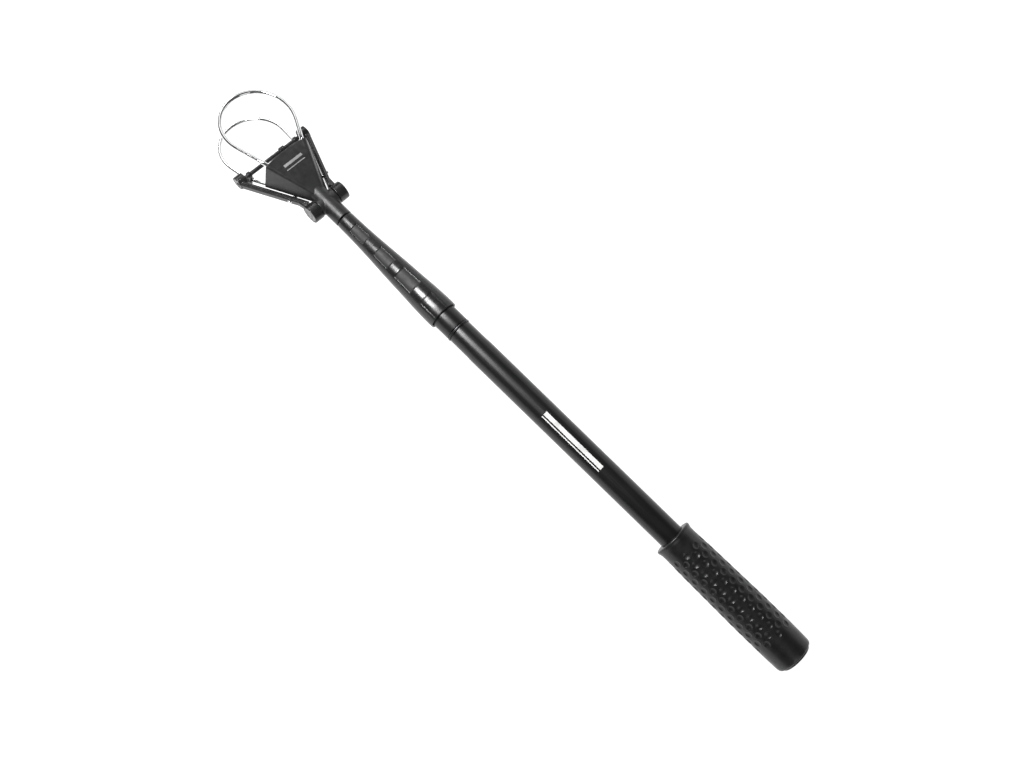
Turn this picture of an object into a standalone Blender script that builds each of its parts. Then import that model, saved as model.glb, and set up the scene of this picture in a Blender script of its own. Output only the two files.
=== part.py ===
# Pocket golf ball retriever: a telescoping pole with a two-loop wire jaw at its end.
#
# Frame: metres. +X runs along the pole from the butt to the head, +Z is the front
# of the head (the side with the flat spade face), +Y completes the right-handed set.
# The origin is the centre of the flat butt face. The object is drawn closed.
import math

import bmesh
import bpy
from mathutils import Matrix, Vector

MM = 0.001

# ------------------------------------------------------------------ driving sizes, mm
TUBE_R = 8.0             # outer tube, 16 mm over all
TUBE_WALL = 0.5
TUBE_X0, TUBE_X1 = 5.0, 276.0
RING_X0, RING_X1 = 276.35, 277.55
FERRULE_X0, FERRULE_X1 = 277.9, 296.0
FERRULE_SPIGOT_X = 268.0

GRIP_BORE_R = 8.3
GRIP_REAR, GRIP_FRONT = 1.6, 102.1

# inner sections, largest first: outer radius, bore, mouth bore, guide bush radius
STAGE_R = (6.60, 5.75, 4.95, 4.15, 3.35, 2.50)
STAGE_BORE = (6.20, 5.40, 4.60, 3.80, 3.00, 1.70)
STAGE_MOUTH = (5.90, 5.10, 4.30, 3.50, 2.65, 1.70)
BUSH_R = (7.30, 6.05, 5.25, 4.45, 3.65, 2.85)
STAGE_BACK = 56.0        # back end of the first inner section
STAGE_STEP = 10.0        # each next section starts this much further along
STAGE_TIP = (305.0, 315.0, 325.0, 335.0, 345.0, 362.0)
MOUTH_LEN = 5.0
BUSH_FLANGE = 6.0
BUSH_SPIGOT = 3.0

SOCKET_X0, SOCKET_X1 = 289.3, 370.1
SOCKET_TWIST = math.radians(-17.0)
NECK_R = 5.55
YOKE_X0 = 370.6
PIVOT_X = 385.1
PAD_R, PAD_Y = 5.3, 6.4
FOLD_X0, SPADE_TOP_X = 392.0, 416.9

KNOB_R = 5.3
KNOB_Y0, KNOB_Y1 = 6.8, 13.0
ROD_X, ROD_Z, ROD_R = 431.4, -11.0, 1.2
BOSS_R = 3.9
BOSS_Y0, BOSS_Y1 = 21.6, 27.0

WIRE_R = 1.2
LOOP_A_Z = 12.4
# the front loop is bent from two arcs: a wide one on the right, a tighter one on the left
LOOP_A_RIGHT = (439.6, -0.8, 21.2, math.radians(29.0))     # centre x, y, radius, leg angle
LOOP_A_LEFT = (441.86, 1.46, 18.0, math.radians(16.5))
FOLD_SLOPE = 0.458       # inside the spade the loop's legs run along its folds
LOOP_B_X, LOOP_B_R = 448.0, 20.6
LOOP_B_HALF = math.radians(6.0)
LOOP_B_TAIL = math.radians(25.0)
LOOP_B_DROP = math.tan(math.radians(12.0))
LOOP_B_AT_ROD = -16.5

GAP = 0.3

# ------------------------------------------------------------------ clean start
for old in list(bpy.data.objects):
    bpy.data.objects.remove(old, do_unlink=True)

parts_coll = bpy.data.collections.new("golf_ball_retriever")
cut_coll = bpy.data.collections.new("cutters")
bpy.context.scene.collection.children.link(parts_coll)
bpy.context.scene.collection.children.link(cut_coll)


# ------------------------------------------------------------------ materials
def material(name, colour, rough, metal=0.0):
    m = bpy.data.materials.new(name)
    m.use_nodes = True
    p = m.node_tree.nodes["Principled BSDF"]
    p.inputs["Base Color"].default_value = (*colour, 1.0)
    p.inputs["Roughness"].default_value = rough
    p.inputs["Metallic"].default_value = metal
    return m


RUBBER = material("rubber_black", (0.012, 0.012, 0.013), 0.55)
PAINT = material("tube_black", (0.010, 0.010, 0.011), 0.32)
PLASTIC = material("plastic_black", (0.022, 0.022, 0.024), 0.34)
CAPGREY = material("plastic_grey", (0.16, 0.16, 0.165), 0.42)
NYLON = material("nylon_white", (0.62, 0.61, 0.57), 0.5)
STEEL = material("steel_satin", (0.56, 0.57, 0.58), 0.24, 1.0)
CHROME = material("wire_chrome", (0.78, 0.79, 0.80), 0.07, 1.0)
BLACKSTEEL = material("steel_black", (0.03, 0.03, 0.032), 0.35, 0.8)


# ------------------------------------------------------------------ helpers
def add(name, mesh, mat=None, cutter=False):
    ob = bpy.data.objects.new(name, mesh)
    (cut_coll if cutter else parts_coll).objects.link(ob)
    if mat is not None:
        mesh.materials.append(mat)
    if cutter:
        ob.hide_render = True
        ob.display_type = 'WIRE'
    return ob


def smooth(ob, angle=35.0):
    ob.data.shade_smooth()
    ob.data.set_sharp_from_angle(angle=math.radians(angle))


def lathe(name, profile, mat=None, steps=24, closed=False, cutter=False, at=(0, 0, 0)):
    """Turned shape about the pole's axis. profile is (x along the pole, radius) in mm,
    listed from the head end down the outer side to the butt end."""
    bm = bmesh.new()
    vs = [bm.verts.new((r * MM, 0.0, x * MM)) for x, r in profile]
    for a, b in zip(vs[:-1], vs[1:]):
        bm.edges.new((a, b))
    if closed:
        bm.edges.new((vs[-1], vs[0]))
    me = bpy.data.meshes.new(name)
    bm.to_mesh(me)
    bm.free()
    ob = add(name, me, mat, cutter)
    ob.rotation_euler = (0.0, math.radians(90.0), 0.0)
    ob.location = Vector(at) * MM
    s = ob.modifiers.new("turn", 'SCREW')
    s.angle = math.tau
    s.steps = steps
    s.render_steps = steps
    s.use_merge_vertices = True
    s.merge_threshold = 0.00001
    s.use_smooth_shade = True
    return ob


def tube_profile(x1, x0, r, bore, mouth=None, mouth_len=0.0):
    """Closed ring section from the head end (x1) to the butt end (x0)."""
    if mouth is None:
        return [(x1, r), (x0, r), (x0, bore), (x1, bore)]
    return [(x1, r), (x0, r), (x0, bore), (x1 - mouth_len - 0.8, bore),
            (x1 - mouth_len, mouth), (x1, mouth)]


def cylinder(name, p0, p1, r, mat=None, segs=24, cutter=False, r2=None):
    """Cylinder (or cone) from p0 to p1, in mm."""
    a, b = Vector(p0) * MM, Vector(p1) * MM
    d = b - a
    bm = bmesh.new()
    bmesh.ops.create_cone(bm, cap_ends=True, segments=segs, radius1=r * MM,
                          radius2=(r if r2 is None else r2) * MM, depth=d.length)
    me = bpy.data.meshes.new(name)
    bm.to_mesh(me)
    bm.free()
    ob = add(name, me, mat, cutter)
    ob.rotation_mode = 'QUATERNION'
    ob.rotation_quaternion = Vector((0, 0, 1)).rotation_difference(d.normalized())
    ob.location = (a + b) / 2
    return ob


def y_cylinder(name, x, z, y0, y1, r, mat=None, segs=24, cutter=False):
    """Cylinder along the head's cross axis."""
    lo, hi = min(y0, y1), max(y0, y1)
    return cylinder(name, (x, lo, z), (x, hi, z), r, mat, segs, cutter)


def box(name, size, centre, mat=None, cutter=False, rot=None):
    bm = bmesh.new()
    bmesh.ops.create_cube(bm, size=1.0)
    bmesh.ops.scale(bm, vec=Vector(size) * MM, verts=bm.verts)
    me = bpy.data.meshes.new(name)
    bm.to_mesh(me)
    bm.free()
    ob = add(name, me, mat, cutter)
    ob.location = Vector(centre) * MM
    if rot is not None:
        ob.rotation_mode = 'QUATERNION'
        ob.rotation_quaternion = rot
    return ob


def boolean(ob, other, how='DIFFERENCE'):
    m = ob.modifiers.new(how.lower() + "_" + other.name, 'BOOLEAN')
    m.operation = how
    m.object = other
    m.solver = 'EXACT'
    return m


def bevel(ob, width, segments=2, angle=40.0):
    b = ob.modifiers.new("edges", 'BEVEL')
    b.width = width * MM
    b.segments = segments
    b.limit_method = 'ANGLE'
    b.angle_limit = math.radians(angle)
    return b


def wire(name, points, r, mat=None, res=2):
    """Round wire along points (mm): a poly curve with filled caps."""
    cu = bpy.data.curves.new(name, 'CURVE')
    cu.dimensions = '3D'
    cu.bevel_depth = r * MM
    cu.bevel_resolution = res
    cu.use_fill_caps = True
    cu.twist_mode = 'MINIMUM'
    sp = cu.splines.new('POLY')
    sp.points.add(len(points) - 1)
    for p, co in zip(sp.points, points):
        p.co = (co[0] * MM, co[1] * MM, co[2] * MM, 1.0)
    sp.use_smooth = True
    ob = bpy.data.objects.new(name, cu)
    parts_coll.objects.link(ob)
    if mat is not None:
        cu.materials.append(mat)
    return ob


def resample(points, step):
    """Even points about step apart along a polyline, through a rounded copy of it."""
    out, carry = [Vector(points[0])], 0.0
    for a, b in zip(points[:-1], points[1:]):
        a, b = Vector(a), Vector(b)
        seg = (b - a).length
        t = step - carry
        while t < seg - 1e-6:
            out.append(a.lerp(b, t / seg))
            t += step
        carry = seg - (t - step)
    if (out[-1] - Vector(points[-1])).length < step * 0.4:
        out.pop()
    out.append(Vector(points[-1]))
    return out


def rounded(points, radius, n=5):
    """Replace each inner corner of a polyline by a short curve of n spans."""
    pts = [Vector(p) for p in points]
    out = [pts[0]]
    for a, p, b in zip(pts[:-2], pts[1:-1], pts[2:]):
        da, db = (a - p), (b - p)
        cut = min(radius, da.length * 0.45, db.length * 0.45)
        s, e = p + da.normalized() * cut, p + db.normalized() * cut
        for i in range(n + 1):
            t = i / n
            out.append(s.lerp(p, t).lerp(p.lerp(e, t), t))
    out.append(pts[-1])
    return out


# ------------------------------------------------------------------ handle: root body
# grip outer profile, butt end to front rim, then turned round for the lathe
grip_outer = [(GRIP_REAR, 11.2), (GRIP_REAR + 1.2, 12.3), (5.0, 12.65), (20.0, 13.0), (40.0, 13.0),
              (60.0, 12.6), (83.0, 12.3), (93.0, 11.95), (98.5, 11.9), (100.6, 12.4), (GRIP_FRONT, 12.0)]
grip = lathe("rubber_grip",
             list(reversed(grip_outer)) + [(GRIP_REAR, GRIP_BORE_R), (GRIP_FRONT, GRIP_BORE_R)],
             RUBBER, steps=24, closed=True)
# the sleeve's open back end is closed by a plug whose flange sits behind the rubber
lathe("butt_plug", [(14.0, 0.0), (14.0, 7.0), (4.6, 7.2), (4.6, 7.9), (1.55, 7.9), (1.3, 10.9),
                    (0.5, 10.6), (0.0, 9.4), (0.0, 0.0)], PLASTIC, steps=24)
lathe("outer_tube",
      [(TUBE_X1, 7.8), (262.5, 7.8), (259.0, TUBE_R), (TUBE_X0, TUBE_R),
       (TUBE_X0, TUBE_R - TUBE_WALL), (TUBE_X1, TUBE_R - TUBE_WALL)], PAINT, steps=24, closed=True)
lathe("crimp_ring",
      [(RING_X1, 8.05), (RING_X1 - 0.35, 8.3), (RING_X0 + 0.35, 8.3), (RING_X0, 8.05),
       (RING_X0, 7.65), (RING_X1, 7.65)], BLACKSTEEL, steps=24, closed=True)
lathe("mouth_ferrule",
      [(FERRULE_X1, 7.6), (FERRULE_X1 - 0.5, TUBE_R), (FERRULE_X0, TUBE_R), (FERRULE_X0, 7.3),
       (FERRULE_SPIGOT_X, 7.3), (FERRULE_SPIGOT_X, 6.85), (FERRULE_X1, 6.85)],
      PLASTIC, steps=24, closed=True)

# ------------------------------------------------------------------ inner sections
for i in range(6):
    back = STAGE_BACK + STAGE_STEP * i
    r, bore = STAGE_R[i], STAGE_BORE[i]
    if i < 5:
        prof = tube_profile(STAGE_TIP[i], back, r, bore, STAGE_MOUTH[i], MOUTH_LEN)
    else:
        prof = tube_profile(STAGE_TIP[i], back, r, bore)
    lathe("section_%d_tube" % (i + 1), prof, STEEL, steps=24, closed=True)
    # the bush under each section's back end runs in the next larger tube
    f = back - GAP
    s = bore - 0.2
    lathe("section_%d_bush" % (i + 1),
          [(f + BUSH_SPIGOT, s - 0.3), (f + BUSH_SPIGOT, s), (f, s), (f, BUSH_R[i]),
           (f - BUSH_FLANGE, BUSH_R[i]), (f - BUSH_FLANGE, s - 0.9), (f, s - 0.9)]
          if s > 2.0 else
          [(f + BUSH_SPIGOT, 0.0), (f + BUSH_SPIGOT, s), (f, s), (f, BUSH_R[i]),
           (f - BUSH_FLANGE, BUSH_R[i]), (f - BUSH_FLANGE, 0.0)],
          NYLON, steps=24, closed=s > 2.0)

# ------------------------------------------------------------------ socket: tapered sleeve
socket_outer = [(SOCKET_X0, 9.45), (294.0, 9.5), (300.7, 9.3), (307.8, 8.9), (314.8, 8.45),
                (321.9, 8.1), (328.9, 7.65), (336.0, 7.15), (343.0, 6.65), (350.1, 6.2),
                (357.2, 5.9), (364.2, 5.65), (SOCKET_X1, NECK_R)]
socket_inner = [(SOCKET_X0, 8.5), (298.0, 8.4), (307.0, 7.2), (321.0, 6.4), (335.0, 5.2),
                (346.5, 4.3), (347.5, 2.8), (362.4, 2.8)]
socket = lathe("socket_sleeve",
               [(379.0, 0.0), (379.0, 2.6), (SOCKET_X1, 2.6)] + list(reversed(socket_outer)) +
               socket_inner + [(362.4, 0.0)],
               PLASTIC, steps=24)
# a row of four shallow pockets on the front and on the back; the first is open at the mouth
POCKETS = ((287.5, 302.8), (310.6, 323.9), (330.3, 341.9), (350.7, 361.8))


def outer_at(x):
    for (xa, ra), (xb, rb) in zip(socket_outer[:-1], socket_outer[1:]):
        if xa <= x <= xb:
            return ra + (rb - ra) * (x - xa) / (xb - xa)
    return socket_outer[0][1] if x < socket_outer[0][0] else socket_outer[-1][1]


for row in range(2):
    ang = SOCKET_TWIST + row * math.pi
    rot = Matrix.Rotation(ang, 3, 'X')
    for k, (xa, xb) in enumerate(POCKETS):
        ra, rb = outer_at(xa), outer_at(xb)
        fa, fb = ra * math.cos(math.radians(29)), rb * math.cos(math.radians(29))
        floor = (fa + fb) / 2 + 0.35 - (0.0 if k else 0.15)
        size = (xb - xa, 2 * (ra + rb) / 2 * math.sin(math.radians(30)), 8.0)
        tilt = Matrix.Rotation(-math.atan2(rb - ra, xb - xa), 3, 'Y')
        c = rot @ Vector(((xa + xb) / 2, 0.0, floor + 4.0))
        b = box("pocket_%d_%d" % (row, k), size, c, cutter=True,
                rot=(rot @ tilt).to_quaternion())
        boolean(socket, b)
pin_dir = Matrix.Rotation(SOCKET_TWIST, 3, 'X') @ Vector((0, 0, 1))
PIN_X = 353.4
hole = cylinder("socket_pin_hole", Vector((PIN_X, 0, 0)) - pin_dir * 9, Vector((PIN_X, 0, 0)) + pin_dir * 9,
                1.15, segs=16, cutter=True)
boolean(socket, hole)
boolean(bpy.data.objects["section_6_tube"], hole)
cylinder("socket_pin", Vector((PIN_X, 0, 0)) - pin_dir * 5.2, Vector((PIN_X, 0, 0)) + pin_dir * 5.2,
         0.85, STEEL, segs=16)

# ------------------------------------------------------------------ yoke: neck, pads and spade
yoke = lathe("spade_yoke",
             [(397.5, 0.0), (397.5, 4.6), (395.0, NECK_R), (YOKE_X0 + 0.4, NECK_R), (YOKE_X0, NECK_R - 0.4),
              (YOKE_X0, 2.9), (379.4, 2.9), (379.4, 0.0)], PLASTIC, steps=24)
pads = y_cylinder("pivot_pads", PIVOT_X, 0.0, -PAD_Y, PAD_Y, PAD_R, segs=28, cutter=True)
boolean(yoke, pads, 'UNION')


def spade_section(x):
    """Half section of the spade's outer skin at x: front face edge and flank edge, (y, z)."""
    t = (x - FOLD_X0) / (SPADE_TOP_X - FOLD_X0)
    return ((3.6 + (15.0 - 3.6) * t, 5.0 + (13.8 - 5.0) * t),
            (6.6 + (18.3 - 6.6) * t, -0.5 + (-5.0 + 0.5) * t))


FACE_SLOPE = (13.8 - 5.0) / (SPADE_TOP_X - FOLD_X0)
bm = bmesh.new()
rows = []
for x in (FOLD_X0, 400.0, 409.0, SPADE_TOP_X):
    (fy, fz), (ky, kz) = spade_section(x)
    sec = [(-ky, kz), (-fy, fz), (fy, fz), (ky, kz)]
    crown = 0.9 * (x - FOLD_X0) / (SPADE_TOP_X - FOLD_X0)
    rows.append([bm.verts.new(((x + (crown if j in (1, 2) else 0.0)) * MM, y * MM, z * MM))
                 for j, (y, z) in enumerate(sec)])
for ra, rb in zip(rows[:-1], rows[1:]):
    for j in range(3):
        bm.faces.new((ra[j], rb[j], rb[j + 1], ra[j + 1]))
bmesh.ops.recalc_face_normals(bm, faces=bm.faces)
me = bpy.data.meshes.new("spade_shell")
bm.to_mesh(me)
bm.free()
shell = add("spade_shell", me, cutter=True)
# the skin's normals point out, so the wall grows inwards
if sum((f.normal.z for f in me.polygons), 0.0) < 0:
    me.flip_normals()
sol = shell.modifiers.new("wall", 'SOLIDIFY')
sol.thickness = 2.0 * MM
sol.offset = -1.0
sol.use_even_offset = True
boolean(yoke, shell, 'UNION')


def leg_a(x, side):
    """Centre of the front loop's leg at x, inside the spade."""
    cx, cy, r, half = LOOP_A_LEFT if side > 0 else LOOP_A_RIGHT
    xt, yt = cx - r * math.sin(half), side * cy + r * math.cos(half)
    bend = SPADE_TOP_X + 0.5
    y = yt - (xt - max(x, bend)) * math.tan(half) - max(bend - x, 0.0) * FOLD_SLOPE
    z = LOOP_A_Z if x > 419.0 else 13.8 - 2.1 - (SPADE_TOP_X - x) * FACE_SLOPE
    return Vector((x, side * y, min(z, LOOP_A_Z)))


for side, tag in ((1, "left"), (-1, "right")):
    a, b = leg_a(403.5, side), leg_a(416.6, side)
    rib = cylinder("wire_rib_" + tag, a, b, 1.95, segs=16, cutter=True)
    boolean(yoke, rib, 'UNION')
for side, tag in ((1, "left"), (-1, "right")):
    a, b = leg_a(404.6, side), leg_a(416.6, side)
    d = (b - a).normalized()
    bore = cylinder("wire_bore_" + tag, a, b + d * 6.0, 1.5, segs=16, cutter=True)
    boolean(yoke, bore)
pin_bore = y_cylinder("pivot_bore", PIVOT_X, 0.0, -9.0, 9.0, 1.8, segs=20, cutter=True)
boolean(yoke, pin_bore)

# ------------------------------------------------------------------ front loop
n = 22
arc = []
for (cx, cy, r, half), a0, a1, m in ((LOOP_A_LEFT, math.pi / 2 + LOOP_A_LEFT[3], math.pi / 4, 8),
                                     (LOOP_A_RIGHT, math.pi / 4 - 0.15, -math.pi / 2 - LOOP_A_RIGHT[3], 15)):
    for i in range(m + 1):
        a = a0 + (a1 - a0) * i / m
        arc.append(Vector((cx + r * math.cos(a), cy + r * math.sin(a), LOOP_A_Z)))
left_leg = [leg_a(x, 1) for x in (405.4, 409.0, 413.0, 416.6)] + [leg_a(417.9, 1), leg_a(421.0, 1), leg_a(426.0, 1)]
right_leg = [leg_a(p.x, -1) for p in reversed(left_leg)]
wire("front_loop", left_leg + arc + right_leg, WIRE_R, CHROME)

# ------------------------------------------------------------------ rear jaw: levers, rod, loop
BAR_DIR_Z = ROD_Z / (ROD_X - PIVOT_X)


def bar_point(x, side):
    return Vector((x, side * (8.5 + (x - 390.7) * 0.442), (x - PIVOT_X) * BAR_DIR_Z))


def loop_b_z(x):
    return LOOP_B_AT_ROD - (x - ROD_X) * LOOP_B_DROP


def loop_b_y(x):
    """Half width of the rear loop's legs at x."""
    xt = LOOP_B_X - LOOP_B_R * math.sin(LOOP_B_HALF)
    yt = LOOP_B_R * math.cos(LOOP_B_HALF)
    knee = ROD_X + 2.4
    if x >= knee:
        return yt - (xt - x) * math.tan(LOOP_B_HALF)
    return yt - (xt - knee) * math.tan(LOOP_B_HALF) - (knee - x) * math.tan(LOOP_B_TAIL)


TAIL_X = 400.6
for side, tag in ((1, "left"), (-1, "right")):
    lever = y_cylinder(tag + "_lever", PIVOT_X, 0.0, side * KNOB_Y0, side * KNOB_Y1, KNOB_R, PLASTIC, segs=28)
    boss = y_cylinder(tag + "_boss", ROD_X, ROD_Z, side * BOSS_Y0, side * BOSS_Y1, BOSS_R, segs=24, cutter=True)
    boolean(lever, boss, 'UNION')
    p0, p1 = bar_point(390.8, side), bar_point(430.2, side)
    d = (p1 - p0)
    xd = d.normalized()
    zd = xd.cross(Vector((0, 1, 0))).normalized()
    yd = zd.cross(xd).normalized()
    rot = Matrix((xd, yd, zd)).transposed().to_quaternion()
    bar = box(tag + "_bar", (d.length, 2.8, 4.4), (p0 + p1) / 2, cutter=True, rot=rot)
    boolean(lever, bar, 'UNION')
    g0, g1 = Vector((386.6, side * 9.9, -0.3)), bar_point(395.0, side)
    gx = (g1 - g0).normalized()
    gz = gx.cross(Vector((0, 1, 0))).normalized()
    gusset = box(tag + "_gusset", ((g1 - g0).length, 2.6, 4.0), (g0 + g1) / 2, cutter=True,
                 rot=Matrix((gx, gz.cross(gx).normalized(), gz)).transposed().to_quaternion())
    boolean(lever, gusset, 'UNION')
    # pocket for the torsion spring, with a step for its cover
    boolean(lever, y_cylinder(tag + "_spring_pocket", PIVOT_X, 0.0, side * 8.3, side * 14.0, 4.15, segs=24, cutter=True))
    boolean(lever, y_cylinder(tag + "_cover_seat", PIVOT_X, 0.0, side * 12.0, side * 14.0, 4.85, segs=24, cutter=True))
    boolean(lever, y_cylinder(tag + "_pin_hole", PIVOT_X, 0.0, side * 5.0, side * 9.0, 1.8, segs=20, cutter=True))
    boolean(lever, y_cylinder(tag + "_rod_hole", ROD_X, ROD_Z, side * 20.0, side * 26.0, 1.5, segs=16, cutter=True))
    boolean(lever, y_cylinder(tag + "_plug_seat", ROD_X, ROD_Z, side * 26.0, side * 28.0, 3.45, segs=24, cutter=True))
    tail = bar_point(TAIL_X, side)
    boolean(lever, y_cylinder(tag + "_tail_hole", TAIL_X, tail.z, side * 8.5, side * 18.0, 1.5, segs=16, cutter=True))
    y_cylinder(tag + "_spring_cover", PIVOT_X, 0.0, side * 12.3, side * 13.1, 4.5, CAPGREY, segs=24)
    y_cylinder(tag + "_rod_plug", ROD_X, ROD_Z, side * 26.3, side * 27.15, 3.15, CAPGREY, segs=24)
    # torsion spring: coils round the pivot pin, a short leg at each end
    turns, per = 3.25, 10
    coil = []
    count = int(turns * per)
    for i in range(count + 1):
        t = i / count
        a = math.tau * turns * t
        coil.append((PIVOT_X + 2.95 * math.cos(a), side * (8.95 + 2.75 * t), 2.95 * math.sin(a)))
    wire(tag + "_torsion_spring", coil, 0.36, STEEL, res=1)
    # clip that ties the rear loop's leg to the cross rod
    wy, wz = loop_b_y(ROD_X), loop_b_z(ROD_X)
    clip = y_cylinder(tag + "_wire_clip", ROD_X, ROD_Z, side * (wy - 1.3), side * (wy + 1.2), 2.0, PLASTIC, segs=20)
    web = box(tag + "_clip_web", (2.4, 2.5, 5.6), (ROD_X, side * (wy - 0.05), (ROD_Z + wz) / 2), cutter=True)
    w0, w1 = Vector((ROD_X - 1.4, side * loop_b_y(ROD_X - 1.4), loop_b_z(ROD_X - 1.4))), \
        Vector((ROD_X + 1.4, side * loop_b_y(ROD_X + 1.4), loop_b_z(ROD_X + 1.4)))
    hug = cylinder(tag + "_clip_hug", w0, w1, 2.0, segs=20, cutter=True)
    wd = (w1 - w0).normalized()
    boolean(clip, web, 'UNION')
    boolean(clip, hug, 'UNION')
    boolean(clip, y_cylinder(tag + "_clip_rod_hole", ROD_X, ROD_Z, side * 15.0, side * 24.0, 1.5, segs=16, cutter=True))
    boolean(clip, cylinder(tag + "_clip_wire_hole", w0 - wd * 3, w1 + wd * 3, 1.62, segs=16, cutter=True))

y_cylinder("pivot_pin", PIVOT_X, 0.0, -11.9, 11.9, 1.5, STEEL, segs=20)
y_cylinder("cross_rod", ROD_X, ROD_Z, -25.7, 25.7, ROD_R, BLACKSTEEL, segs=16)
collar = y_cylinder("rod_collar", ROD_X, ROD_Z, -9.6, -6.0, 2.0, PLASTIC, segs=20)
boolean(collar, y_cylinder("collar_bore", ROD_X, ROD_Z, -12.0, -4.0, 1.5, segs=16, cutter=True))

a0 = math.pi / 2 + LOOP_B_HALF
arc = []
for i in range(n + 1):
    a = a0 - 2 * a0 * i / n
    x = LOOP_B_X + LOOP_B_R * math.cos(a)
    arc.append(Vector((x, LOOP_B_R * math.sin(a), loop_b_z(x))))
knee_x = ROD_X + 2.4
bar_tail = bar_point(TAIL_X, 1)
tail_path = rounded([
    Vector((TAIL_X, bar_tail.y + 2.4, bar_tail.z)),
    Vector((TAIL_X, loop_b_y(404.0) + 0.6, bar_tail.z)),
    Vector((404.4, loop_b_y(404.4), loop_b_z(404.4))),
    Vector((knee_x, loop_b_y(knee_x), loop_b_z(knee_x))),
    Vector((LOOP_B_X - LOOP_B_R * math.sin(LOOP_B_HALF), LOOP_B_R * math.cos(LOOP_B_HALF),
            loop_b_z(LOOP_B_X - LOOP_B_R * math.sin(LOOP_B_HALF))))], 3.0, 4)
tail_path = resample(tail_path[:-1], 3.6)
left = [p for p in tail_path]
right = [Vector((p.x, -p.y, p.z)) for p in reversed(left)]
wire("rear_loop", left + arc + right, WIRE_R, CHROME)

# everything on the rear jaw hangs from an empty on the jaw's hinge axis
hinge = bpy.data.objects.new("rear_jaw_axis", None)
hinge.location = Vector((PIVOT_X, 0.0, 0.0)) * MM
hinge.empty_display_size = 10 * MM
parts_coll.objects.link(hinge)
for name in ("left_lever", "right_lever", "left_spring_cover", "right_spring_cover", "cross_rod", "rod_collar",
             "left_rod_plug", "right_rod_plug", "left_wire_clip", "right_wire_clip", "rear_loop"):
    ob = bpy.data.objects[name]
    ob.parent = hinge
    ob.matrix_parent_inverse = Matrix.Translation(Vector((-PIVOT_X, 0.0, 0.0)) * MM)

for ob in parts_coll.objects:
    if ob.type == 'MESH':
        smooth(ob)
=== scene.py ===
import math

import bmesh
import bpy
import numpy as np
from mathutils import Matrix, Vector


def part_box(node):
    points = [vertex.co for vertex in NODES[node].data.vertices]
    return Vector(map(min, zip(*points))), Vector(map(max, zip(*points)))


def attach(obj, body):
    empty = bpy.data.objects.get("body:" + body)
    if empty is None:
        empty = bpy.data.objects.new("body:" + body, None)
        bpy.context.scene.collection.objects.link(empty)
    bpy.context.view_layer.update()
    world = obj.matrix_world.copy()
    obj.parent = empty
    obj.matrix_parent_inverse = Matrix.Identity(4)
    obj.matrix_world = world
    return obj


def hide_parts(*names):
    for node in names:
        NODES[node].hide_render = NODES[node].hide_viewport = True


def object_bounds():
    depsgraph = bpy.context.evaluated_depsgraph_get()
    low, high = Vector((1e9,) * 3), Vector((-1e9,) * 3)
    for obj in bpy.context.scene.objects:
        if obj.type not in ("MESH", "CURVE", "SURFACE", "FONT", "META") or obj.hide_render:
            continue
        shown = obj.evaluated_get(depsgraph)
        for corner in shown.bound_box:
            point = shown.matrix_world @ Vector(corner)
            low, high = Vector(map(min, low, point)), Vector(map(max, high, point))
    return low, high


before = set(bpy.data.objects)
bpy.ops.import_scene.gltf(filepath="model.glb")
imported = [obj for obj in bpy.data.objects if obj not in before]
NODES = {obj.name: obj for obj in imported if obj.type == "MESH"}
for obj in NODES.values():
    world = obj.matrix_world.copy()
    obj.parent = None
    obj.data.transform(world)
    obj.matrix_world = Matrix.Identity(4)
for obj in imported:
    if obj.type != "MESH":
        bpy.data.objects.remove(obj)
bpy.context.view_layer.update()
MM = 0.001

# =============================================================== materials


def new_mat(name, colour, rough, metal=0.0, spec=0.5, coat=0.0, coat_rough=0.1, aniso=0.0):
    m = bpy.data.materials.new(name)
    m.use_nodes = True
    p = m.node_tree.nodes["Principled BSDF"]
    p.inputs["Base Color"].default_value = (*colour, 1)
    p.inputs["Roughness"].default_value = rough
    p.inputs["Metallic"].default_value = metal
    p.inputs["Specular IOR Level"].default_value = spec
    p.inputs["Coat Weight"].default_value = coat
    p.inputs["Coat Roughness"].default_value = coat_rough
    p.inputs["Anisotropic"].default_value = aniso
    return m, m.node_tree, p


def coords(nt, scale=(1, 1, 1), rot=(0, 0, 0)):
    tc = nt.nodes.new("ShaderNodeTexCoord")
    mp = nt.nodes.new("ShaderNodeMapping")
    mp.inputs["Scale"].default_value = scale
    mp.inputs["Rotation"].default_value = rot
    nt.links.new(tc.outputs["Object"], mp.inputs["Vector"])
    return mp.outputs["Vector"]


def noise(nt, vec, scale, detail=3.0, rough=0.55):
    n = nt.nodes.new("ShaderNodeTexNoise")
    n.inputs["Scale"].default_value = scale
    n.inputs["Detail"].default_value = detail
    n.inputs["Roughness"].default_value = rough
    nt.links.new(vec, n.inputs["Vector"])
    return n.outputs["Fac"]


def ramp(nt, fac, stops):
    r = nt.nodes.new("ShaderNodeValToRGB")
    els = r.color_ramp.elements
    while len(els) < len(stops):
        els.new(0.5)
    for e, (pos, col) in zip(els, stops):
        e.position = pos
        e.color = (*col, 1) if len(col) == 3 else col
    nt.links.new(fac, r.inputs["Fac"])
    return r.outputs["Color"]


def remap(nt, fac, lo, hi):
    mr = nt.nodes.new("ShaderNodeMapRange")
    mr.inputs["From Min"].default_value = 0.3
    mr.inputs["From Max"].default_value = 0.7
    mr.inputs["To Min"].default_value = lo
    mr.inputs["To Max"].default_value = hi
    nt.links.new(fac, mr.inputs["Value"])
    return mr.outputs["Result"]


def bump(nt, fac, strength, dist, prev=None):
    b = nt.nodes.new("ShaderNodeBump")
    b.inputs["Strength"].default_value = strength
    b.inputs["Distance"].default_value = dist
    nt.links.new(fac, b.inputs["Height"])
    if prev is not None:
        nt.links.new(prev, b.inputs["Normal"])
    return b.outputs["Normal"]


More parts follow.
